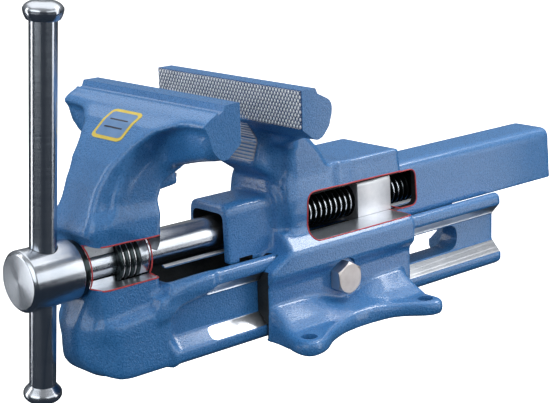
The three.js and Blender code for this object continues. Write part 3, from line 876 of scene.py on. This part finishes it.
fixed_grip = pipe_teeth("fixed_pipe_grip_teeth", list, 14.6)
front_grip = pipe_teeth("front_pipe_grip_teeth", front, 12.4)
for made, body in ((fixed_teeth, "fixed_body"), (fixed_grip, "fixed_body"),
                   (front_teeth, "front_jaw"), (front_grip, "front_jaw")):
    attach(made, body)
print("grip teeth, faces:", len(fixed_grip.data.polygons) + len(front_grip.data.polygons))

# %% [markdown]
# The spindle is turned from one bar: a big head with a cross hole for the handle, a plain shank that the
# springs sit on, and a trapezoidal thread, 20 mm across with a 4 mm pitch. The thread is swept by
# formula, a profile of one pitch carried round and along, which leaves its edges as clean as a lathe does.

# %% Spindle head and shank
spindle_low, spindle_high = span("spindle_screw")
HEAD_FRONT, HEAD_REAR, HEAD_R, SHAFT_R = spindle_low[0], -108.0, spindle_high[2], 10.0
THREAD_START = 24.0
handle_low, handle_high = span("handle_bar")
HANDLE_X, HANDLE_R = (handle_low[0] + handle_high[0]) / 2, (handle_high[0] - handle_low[0]) / 2
TILT = Vector(joints["handle_slide"]["axis"])

spindle = turned("spindle_head", [
    (HEAD_FRONT, 0), (HEAD_FRONT, HEAD_R - 1.6, 0.6), (HEAD_FRONT + 1.6, HEAD_R, 0.6),
    (HEAD_REAR, HEAD_R, 0.8),
    (HEAD_REAR, SHAFT_R + 0.4, 0.3), (HEAD_REAR + 0.5, SHAFT_R), (THREAD_START - 2, SHAFT_R, 0.5),
    (THREAD_START, 7.6), (THREAD_START + 6, 7.6), (THREAD_START + 6, 0),
], (SPINDLE_STEEL, SHADE_BLACK), segments=128)
machine(spindle, drill("cross_hole", (HANDLE_X, 0, 0), TILT, -30, 30, HANDLE_R + 0.45, 64))
smooth(spindle)
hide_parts("spindle_screw")
print("spindle head, mm across:", round(2 * HEAD_R, 1))


# %% Trapezoidal thread
def trapezoidal_thread(name, start, stop, major, pitch, materials):
    minor = major - pitch / 2 - 0.25
    profile = [(0.0, major - 0.12), (0.08, major), (0.25, major), (0.33, major - 0.12),
               (0.44, minor + 0.1), (0.50, minor), (0.82, minor), (0.90, minor + 0.1)]
    around, turns = 56, int((stop - start) / pitch) + 3
    points = []
    for i in range(around * turns + 1):
        angle = 2 * math.pi * i / around
        for share, radius in profile:
            along = start - 1.5 * pitch + pitch * (i / around + share)
            points.append((along, -radius * math.sin(angle), radius * math.cos(angle)))
    count = len(profile)
    faces = []
    for i in range(around * turns):
        for j in range(count):
            a, b = i * count + j, (i + 1) * count + j
            if j + 1 < count:
                faces.append((a, b, b + 1, a + 1))
            elif i + 1 + around <= around * turns:
                faces.append((a, b, (i + 1 + around) * count, (i + around) * count))
    made = piece(name, points, faces, materials)
    for i, face in enumerate(made.data.polygons):
        face.material_index = int(i % count == 1 and i < around * turns * count - count * around)
    outward(
        made,
        lambda work: bmesh.ops.holes_fill(work, edges=[e for e in work.edges if e.is_boundary], sides=0),
        lambda work: bmesh.ops.triangulate(work, faces=[f for f in work.faces if len(f.verts) > 4]),
    )
    stock = turned("stock", [
        (start, 0), (start, minor - 0.2), (start + 2.2, major + 0.5), (stop - 2.4, major + 0.5),
        (stop, minor), (stop, 0),
    ], segments=64)
    machine(made, stock, "INTERSECT")
    smooth(made, 40)
    return made


PITCH = 4.0
thread = trapezoidal_thread("spindle_thread", THREAD_START, spindle_high[0], SHAFT_R, PITCH,
                            (BLACKED, SPINDLE_STEEL))
for made, finish_name in ((spindle, "turned_steel"), (thread, "black_spring_steel")):
    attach(made, "spindle")
print("thread, faces:", len(thread.data.polygons))

# %% [markdown]
# The rings on the spindle are small, but the window shows them close up. Disc springs are dished and
# black, with round edges, and the rings between them are ground bright. A pinned collar holds the pack.

# %% Spring pack, thrust washer and collar
def ring_piece(node_name, material, clearance, edge, dish=0.0):
    low, high = span(node_name)
    front_x, rear_x, outer, inner = low[0], high[0], high[2], SHAFT_R + clearance
    corners = [
        (front_x + dish, inner, 0.2), (front_x, outer, edge), (rear_x, outer, edge), (rear_x, inner, 0.2),
    ]
    made = turned(node_name + "_turned", corners, (material,), closed=True)
    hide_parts(node_name)
    return made


rings = [(f"disc_spring_{i}", BLACKED, "black_spring_steel", 0.25, 0.9, 0.5) for i in range(1, 5)]
rings += [(f"spring_shim_{i}", GROUND, "turned_steel", 0.25, 0.15) for i in range(1, 4)]
rings += [("thrust_washer", BLACKED, "black_spring_steel", 0.3, 0.6)]
for node_name, material, slot_name, *shape in rings:
    made = ring_piece(node_name, material, *shape)
    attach(made, "front_jaw")
collar = ring_piece("retaining_collar", SPINDLE_STEEL, 0.2, 0.6)
collar_x = sum(corner[0] for corner in span("collar_pin")) / 2
machine(collar, drill("pin_hole", (collar_x, 0, 0), Z_AXIS, -30, 30, 1.6, 24))
smooth(collar)
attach(collar, "spindle")
print("rings:", len(rings) + 1)

# %% [markdown]
# The sliding handle is a ground bar with a knob pressed on each end. The upper knob is a rounded cap
# and the lower one flares towards its end. Each is turned from a profile along the bar's own axis.

# %% Handle bar and knobs
def handle_piece(node_name, profile):
    """Turns a profile of (distance along the bar, radius) corners about the tilted handle axis."""
    turn = Matrix((TILT, X_AXIS, TILT.cross(X_AXIS))).transposed()
    place = (turn, (HANDLE_X, 0, 0))
    made = turned(node_name + "_turned", profile, (HANDLE_STEEL,), place=place)
    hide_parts(node_name)
    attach(made, "handle")


def along_handle(node_name):
    """Lowest and highest distance of a node along the handle axis."""
    mesh = frame["nodes"][node_name].data
    hole = ZERO + X_AXIS * HANDLE_X * MM
    places = [((vertex.co - hole) / MM).dot(TILT) for vertex in mesh.vertices]
    return min(places), max(places)


bar_low, bar_high = along_handle("handle_bar")
handle_piece("handle_bar", [(bar_low, 0), (bar_low, HANDLE_R - 0.1), (bar_low + 0.1, HANDLE_R),
                            (bar_high - 0.1, HANDLE_R), (bar_high, HANDLE_R - 0.1), (bar_high, 0)])
KNOB_R = 10.0
top_low, top_high = along_handle("handle_knob_upper")
handle_piece("handle_knob_upper", [
    (top_low, 0), (top_low, HANDLE_R - 0.5), (top_low, HANDLE_R + 1.4, 0.5), (top_low + 3.2, KNOB_R, 2.2),
    (top_high - 2.6, KNOB_R, 2.2), (top_high - 0.5, 6.5, 1.6), (top_high, 4, 0.8), (top_high, 0),
])
foot_low, foot_high = along_handle("handle_knob_lower")
handle_piece("handle_knob_lower", [
    (foot_low, 0), (foot_low, 5.2, 0.8), (foot_low + 0.6, 8.2, 0.8), (foot_low + 2.6, KNOB_R, 1.2),
    (foot_low + 5.4, KNOB_R, 1), (foot_high - 0.4, HANDLE_R + 0.3, 0.4), (foot_high, HANDLE_R), (foot_high, 0),
])
print("handle from", round(foot_low, 1), "to", round(top_high, 1), "mm along its axis")

# %% [markdown]
# The nut is a milled block that fills the channel, keyed from the far side by a dowel. Its near face
# shows in the window. Small chamfers catch the light as on a real milled block.

# %% Spindle nut
nut_low, nut_high = span("spindle_nut")
NUT_HALF = [(12.3, 12.4, 3.2), (12.8, -12, 1)]
NUT_BORE_R = 10.3
nut = end_prism("spindle_nut_block", mirrored(NUT_HALF), nut_low[0], nut_high[0], (NUT_STEEL, SHADE_BLACK))
chamfer(nut, 0.5)
nut_bore = drill("nut_bore", (0, 0, 0), X_AXIS, nut_low[0] - 9, nut_high[0] + 9, NUT_BORE_R)
# The bore takes the near-black painted shade.
machine(nut, nut_bore, face_material=1)
smooth(nut)
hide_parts("spindle_nut")
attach(nut, "fixed_body")
print("nut, mm long:", round(nut_high[0] - nut_low[0], 1))

# %% [markdown]
# One bolt draws the guide together. Its hexagon has the round chamfer that a heading die leaves: the
# head is the part that a hexagonal bar and a coned disc have in common.

# %% Guide tie bolt
def hexagon(name, y0, y1, across_flats, material):
    radius = across_flats / math.sqrt(3)
    corners = [(BOLT_X + radius * math.sin(a), BOLT_Z + radius * math.cos(a))
               for a in np.linspace(0, 2 * math.pi, 7)[:-1]]
    made = side_prism(name, corners, y0, y1, (material,))
    turn = Y_AXIS.to_track_quat("X", "Z").to_matrix()
    half = across_flats / 2
    cone = turned("cone", [
        (y0 - 0.01, 0), (y0 - 0.01, half * 0.96), (y0 + 1.1, radius + 0.3),
        (y1 - 0.35, radius + 0.3), (y1 + 0.01, radius - 0.35), (y1 + 0.01, 0),
    ], segments=64, place=(turn, BOLT))
    machine(made, cone, "INTERSECT")
    return made


FLATS, SHANK_R, HEAD_SEAT = 17, 5.0, -30.3
bolt_low, bolt_high = span("guide_tie_bolt")
head = hexagon("tie_bolt_head", bolt_low[1], HEAD_SEAT, FLATS, ZINC)
machine(head, drill("shank", BOLT, Y_AXIS, HEAD_SEAT - 0.7, bolt_high[1], SHANK_R), "UNION")
smooth(head, 25)
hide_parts("guide_tie_bolt")
lock_low, lock_high = span("tie_bolt_nut")
lock_nut = hexagon("tie_bolt_hex_nut", lock_low[1], lock_high[1], FLATS, ZINC)
machine(lock_nut, drill("bore", BOLT, Y_AXIS, 20, 60, BOLT_HOLE_R))
smooth(lock_nut, 25)
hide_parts("tie_bolt_nut")
for made in (head, lock_nut):
    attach(made, "fixed_body")
print("bolt at", round(BOLT_X, 1), round(BOLT_Z, 1))

# %% [markdown]
# Three plain pieces keep their shape from the frame: the dowel, the collar pin and the washer behind
# the guide. They get a finish and a fine bevel, which leaves the frame's own meshes as they are.

# %% Pieces kept from the frame
for node_name, material in (("nut_dowel", GROUND), ("collar_pin", GROUND), ("tie_bolt_washer", ZINC)):
    kept = frame["nodes"][node_name]
    kept.data.materials.clear()
    kept.data.materials.append(material)
    step = kept.modifiers.new("broken_edge", "BEVEL")
    step.width, step.segments = 0.25 * MM, 2
    step.limit_method, step.angle_limit = "ANGLE", math.radians(40)
    print("kept from the frame:", node_name)

# %% [markdown]
# A printed film sits on the slope of the front jaw. It is a plain size label: a yellow frame round a
# blue field with two ruled lines, and nothing is written on it. The frame and lines are thin raised
# pieces on a rounded plate, so that the label keeps its shape in every export.

# %% Size label
def film(name, dark, light):
    return grained(name, (0.9, 8.0), dark, light, ("Speck", 0.1, 0.8, 0.36, 0.5), (0.15, 0.05))


FILM_YELLOW = film("label_yellow", (0.70, 0.52, 0.07), (0.80, 0.62, 0.10))
FILM_BLUE = film("label_blue", (0.12, 0.25, 0.48), (0.16, 0.30, 0.55))
FILM_INK = film("label_ink", (0.015, 0.02, 0.035), (0.02, 0.025, 0.05))
LABEL_RISE, LABEL_RUN = 76.4 - 61.5, 83 - 62


def label_plane():
    """Middle of the label and its three directions, measured on the frame's own label."""
    mesh = frame["nodes"]["size_label"].data
    points = np.array([vertex.co for vertex in mesh.vertices])
    middle = (points.mean(axis=0) - np.array(ZERO)) / MM
    slope = math.atan2(LABEL_RISE, LABEL_RUN)
    along = Vector((math.cos(slope), 0, math.sin(slope)))
    return Vector(middle), along, Vector((-math.sin(slope), 0, math.cos(slope)))


def skin_of(made):
    return BVHTree.FromObject(made, bpy.context.evaluated_depsgraph_get())


def label_sheet(name, length, width, corner, lift, thick, material, offset=0.0):
    """A rounded sheet laid on the forging: rays down the slope's normal find the skin under each point."""
    middle, along, out = label_plane()
    rows, columns = 25, 13
    points = []
    for u in np.linspace(-length / 2, length / 2, rows):
        past = max(0.0, abs(u) - (length / 2 - corner))
        half = width / 2 - corner + math.sqrt(max(0.0, corner ** 2 - past ** 2))
        for v in np.linspace(-half, half, columns):
            above = middle + along * (u + offset) + Y_AXIS * v + out * 20
            hit = SKIN.ray_cast(Vector(metres(above)), -out)[0]
            points.append((Vector(hit) - ZERO) / MM + out * (lift + thick))
    made = piece(name, [tuple(p) for p in points], grid_quads(rows, columns)[1], (material,))
    step = made.modifiers.new("film", "SOLIDIFY")
    step.thickness = thick * MM
    step.offset = -1.0 if made.data.polygons[0].normal.dot(out) > 0 else 1.0
    smooth(bake(made))
    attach(made, "front_jaw")
    return made


SKIN = skin_of(front_jaw)
plate = label_sheet("label_frame", 20.6, 25.6, 3.0, 0.0, 0.25, FILM_YELLOW)
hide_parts("size_label")
label_sheet("label_field", 16.6, 21.6, 2.0, 0.2, 0.15, FILM_BLUE)
for i, offset in enumerate((-2.6, 2.6), 1):
    label_sheet(f"label_line_{i}", 0.9, 15.0, 0.44, 0.3, 0.15, FILM_INK, offset)
print("label laid on the flange")

# %% [markdown]
# A sales cut-away has the edges of its sections picked out with a fine red line. Each line is a bead
# laid on the cut edge. Rays from the side find where the outline of a window meets the forging, and
# where the window runs off the boss the line follows the ring instead, as an arc round the spindle.

# %% Red section lines
RED = grained("red_line", (1.0, 8.0), (0.48, 0.045, 0.05), (0.66, 0.08, 0.085),
              ("Speck", 0.1, 0.8, 0.4, 0.55), (0.2, 0.08), Specular_IOR_Level=0.4)
LINE_R = 0.42


def near_side(skin, x, z):
    """Where a level ray from the near side meets a skin, or nothing."""
    hit = skin.ray_cast(Vector(metres((x, -90, z))), Y_AXIS)[0]
    return [] if hit is None else [tuple((Vector(hit) - ZERO) / MM)]


def on_surface(made, corners, margin, spacing=0.8):
    """Follows an outline in side view over the near side of a piece, a margin outside the cut."""
    skin = skin_of(made)
    outline = rounded(corners)
    centre = np.mean(outline, axis=0)
    points = []
    for start, stop in zip(outline, outline[1:] + outline[:1]):
        start, stop = np.array(start), np.array(stop)
        count = max(1, round(np.linalg.norm(stop - start) / spacing))
        for k in range(count):
            at = start + (stop - start) * k / count
            points += near_side(skin, *(at + np.sign(at - centre) * margin))
    return points


def line_piece(name, points, body):
    """A closed round bead through points in workshop millimetres, as a mesh."""
    curve = bpy.data.curves.new(name, "CURVE")
    curve.dimensions, curve.bevel_depth, curve.bevel_resolution = "3D", LINE_R * MM, 2
    spline = curve.splines.new("POLY")
    spline.points.add(len(points) - 1)
    for point, place in zip(spline.points, metres(points)):
        point.co = (*place, 1)
    spline.use_cyclic_u = True
    guide = bpy.data.objects.new(name + "_guide", curve)
    bpy.context.scene.collection.objects.link(guide)
    mesh = bpy.data.meshes.new_from_object(guide.evaluated_get(bpy.context.evaluated_depsgraph_get()))
    bpy.data.objects.remove(guide)
    mesh.materials.clear()
    mesh.materials.append(RED)
    made = bpy.data.objects.new(name, mesh)
    bpy.context.scene.collection.objects.link(made)
    smooth(made)
    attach(made, body)
    return made


nut_line = [
    (WINDOW_FRONT, WINDOW_LOW, 5), (WINDOW_FRONT, WINDOW_TOP, 7), (111, WINDOW_TOP - 1),
    (111, CHANNEL_TOP), (CHANNEL_END, CHANNEL_TOP, 5), (CHANNEL_END, CHANNEL_LOW, 5),
    (112.2, CHANNEL_LOW), (112.2, WINDOW_LOW),
]
line_piece("nut_window_line", on_surface(fixed_body, nut_line, 0.35), "fixed_body")


def ring_arc(x, radius, high, low, count=16):
    """The near side of a circle round the spindle, from one height to another."""
    angles = np.linspace(math.asin(high / radius), math.asin(low / radius), count)
    return [(x, -radius * math.cos(a), radius * math.sin(a)) for a in angles]


front_skin = skin_of(front_jaw)
stations = np.linspace(BOSS_FRONT + 3.5, -66.5, 30)
boss_points = [p for x in stations for p in near_side(front_skin, x, window_top + 0.3)]
boss_points += ring_arc(-65.6, 14.5, 13.3, -8.6)
boss_points += [p for x in stations[::-1] for p in near_side(front_skin, x, window_low - 0.3)]
boss_points += ring_arc(BOSS_FRONT, 15.2, 13.3, -8.6)[::-1]
line_piece("spring_window_line", boss_points, "front_jaw")
print("section lines made")

# %% [markdown]
# The studio is a pale floor and soft boxes. The head and handle only look like steel if they have both
# bright and dark things to reflect, so the surroundings go from bright above to dark below, while the
# camera itself sees a plain white backdrop. The strongest box is in front of the vise on the left.

# %% Floor, backdrop and lights
FLOOR_Z, FLOOR_HALF = -0.135, 6
corners = [(FLOOR_HALF * x, FLOOR_HALF * y, FLOOR_Z) for x, y in ((-1, -1), (1, -1), (1, 1), (-1, 1))]
floor_mesh = bpy.data.meshes.new("studio_floor")
floor_mesh.from_pydata(corners, [], [(0, 1, 2, 3)])
floor = bpy.data.objects.new("studio_floor", floor_mesh)
bpy.context.scene.collection.objects.link(floor)
floor_finish, floor_tree, floor_shader = finish("pale_floor", Roughness=0.9, Specular_IOR_Level=0.1)
floor_shader.inputs["Base Color"].default_value = (0.9, 0.9, 0.9, 1)
floor_shader.inputs["Emission Color"].default_value = (1, 1, 1, 1)
floor_shader.inputs["Emission Strength"].default_value = 0.95
floor_mesh.materials.append(floor_finish)
floor.visible_glossy = floor.visible_diffuse = False


def backdrop():
    world = bpy.data.worlds.new("studio")
    world.use_nodes = True
    bpy.context.scene.world = world
    tree = world.node_tree
    direction = node(tree, "TexCoord").outputs["Generated"]
    height = node(tree, "SeparateXYZ", {0: direction}).outputs["Z"]
    upward = node(tree, "MapRange", {"Value": height, 1: -1.0, 2: 1.0})
    sky = node(tree, "ValToRGB", {"Fac": upward.outputs[0]})
    stops = sky.color_ramp.elements
    stops[0].position, stops[0].color = 0.30, (0.05, 0.07, 0.10, 1)
    stops[1].position, stops[1].color = 0.95, (1.0, 1.0, 1.0, 1)
    for position, shade in ((0.50, 0.20), (0.62, 0.42)):
        stop = stops.new(position)
        stop.color = (shade * 0.95, shade, shade * 1.06, 1)
    around = tree.nodes["Background"]
    tree.links.new(sky.outputs["Color"], around.inputs["Color"])
    around.inputs["Strength"].default_value = 0.5
    white = node(tree, "Background", {"Color": (1, 1, 1, 1), "Strength": 1.0})
    ray = node(tree, "LightPath")
    seen = ray.outputs["Is Camera Ray"]
    mix = node(tree, "MixShader", {0: seen, 1: around.outputs[0], 2: white.outputs[0]})
    tree.links.new(mix.outputs[0], tree.nodes["World Output"].inputs["Surface"])


def softbox(name, place, aim, width, height, power, colour):
    light = bpy.data.lights.new(name, "AREA")
    light.shape, light.size, light.size_y = "RECTANGLE", width, height
    light.energy, light.color = power, colour
    made = bpy.data.objects.new(name, light)
    bpy.context.scene.collection.objects.link(made)
    made.location = place
    made.rotation_mode = "QUATERNION"
    made.rotation_quaternion = (Vector(place) - Vector(aim)).to_track_quat("Z", "Y")
    return made


backdrop()
centre = tuple(metres((20, 0, 10)))
COOL, NEUTRAL = (0.96, 0.99, 1.0), (1, 1, 1)
for box in (
    ("overhead", (0.25, 0.25, 1.25), centre, 2.0, 1.6, 11, NEUTRAL),
    ("side_fill", (0.4, -1.6, 0.5), centre, 2.0, 1.0, 8, (0.97, 0.99, 1.0)),
    ("key_front", (-1.6, -0.3, 0.6), centre, 1.5, 1.2, 11, COOL),
    ("sparkle", (0.9, -0.35, 1.05), centre, 0.45, 0.25, 6, NEUTRAL),
    ("strip_left", (-0.95, 0.85, 0.3), centre, 0.25, 1.4, 4, NEUTRAL),
    ("strip_right", (1.0, -0.95, 0.25), centre, 0.35, 1.4, 4, NEUTRAL),
):
    softbox(*box)
bpy.context.scene.view_settings.view_transform = "Standard"
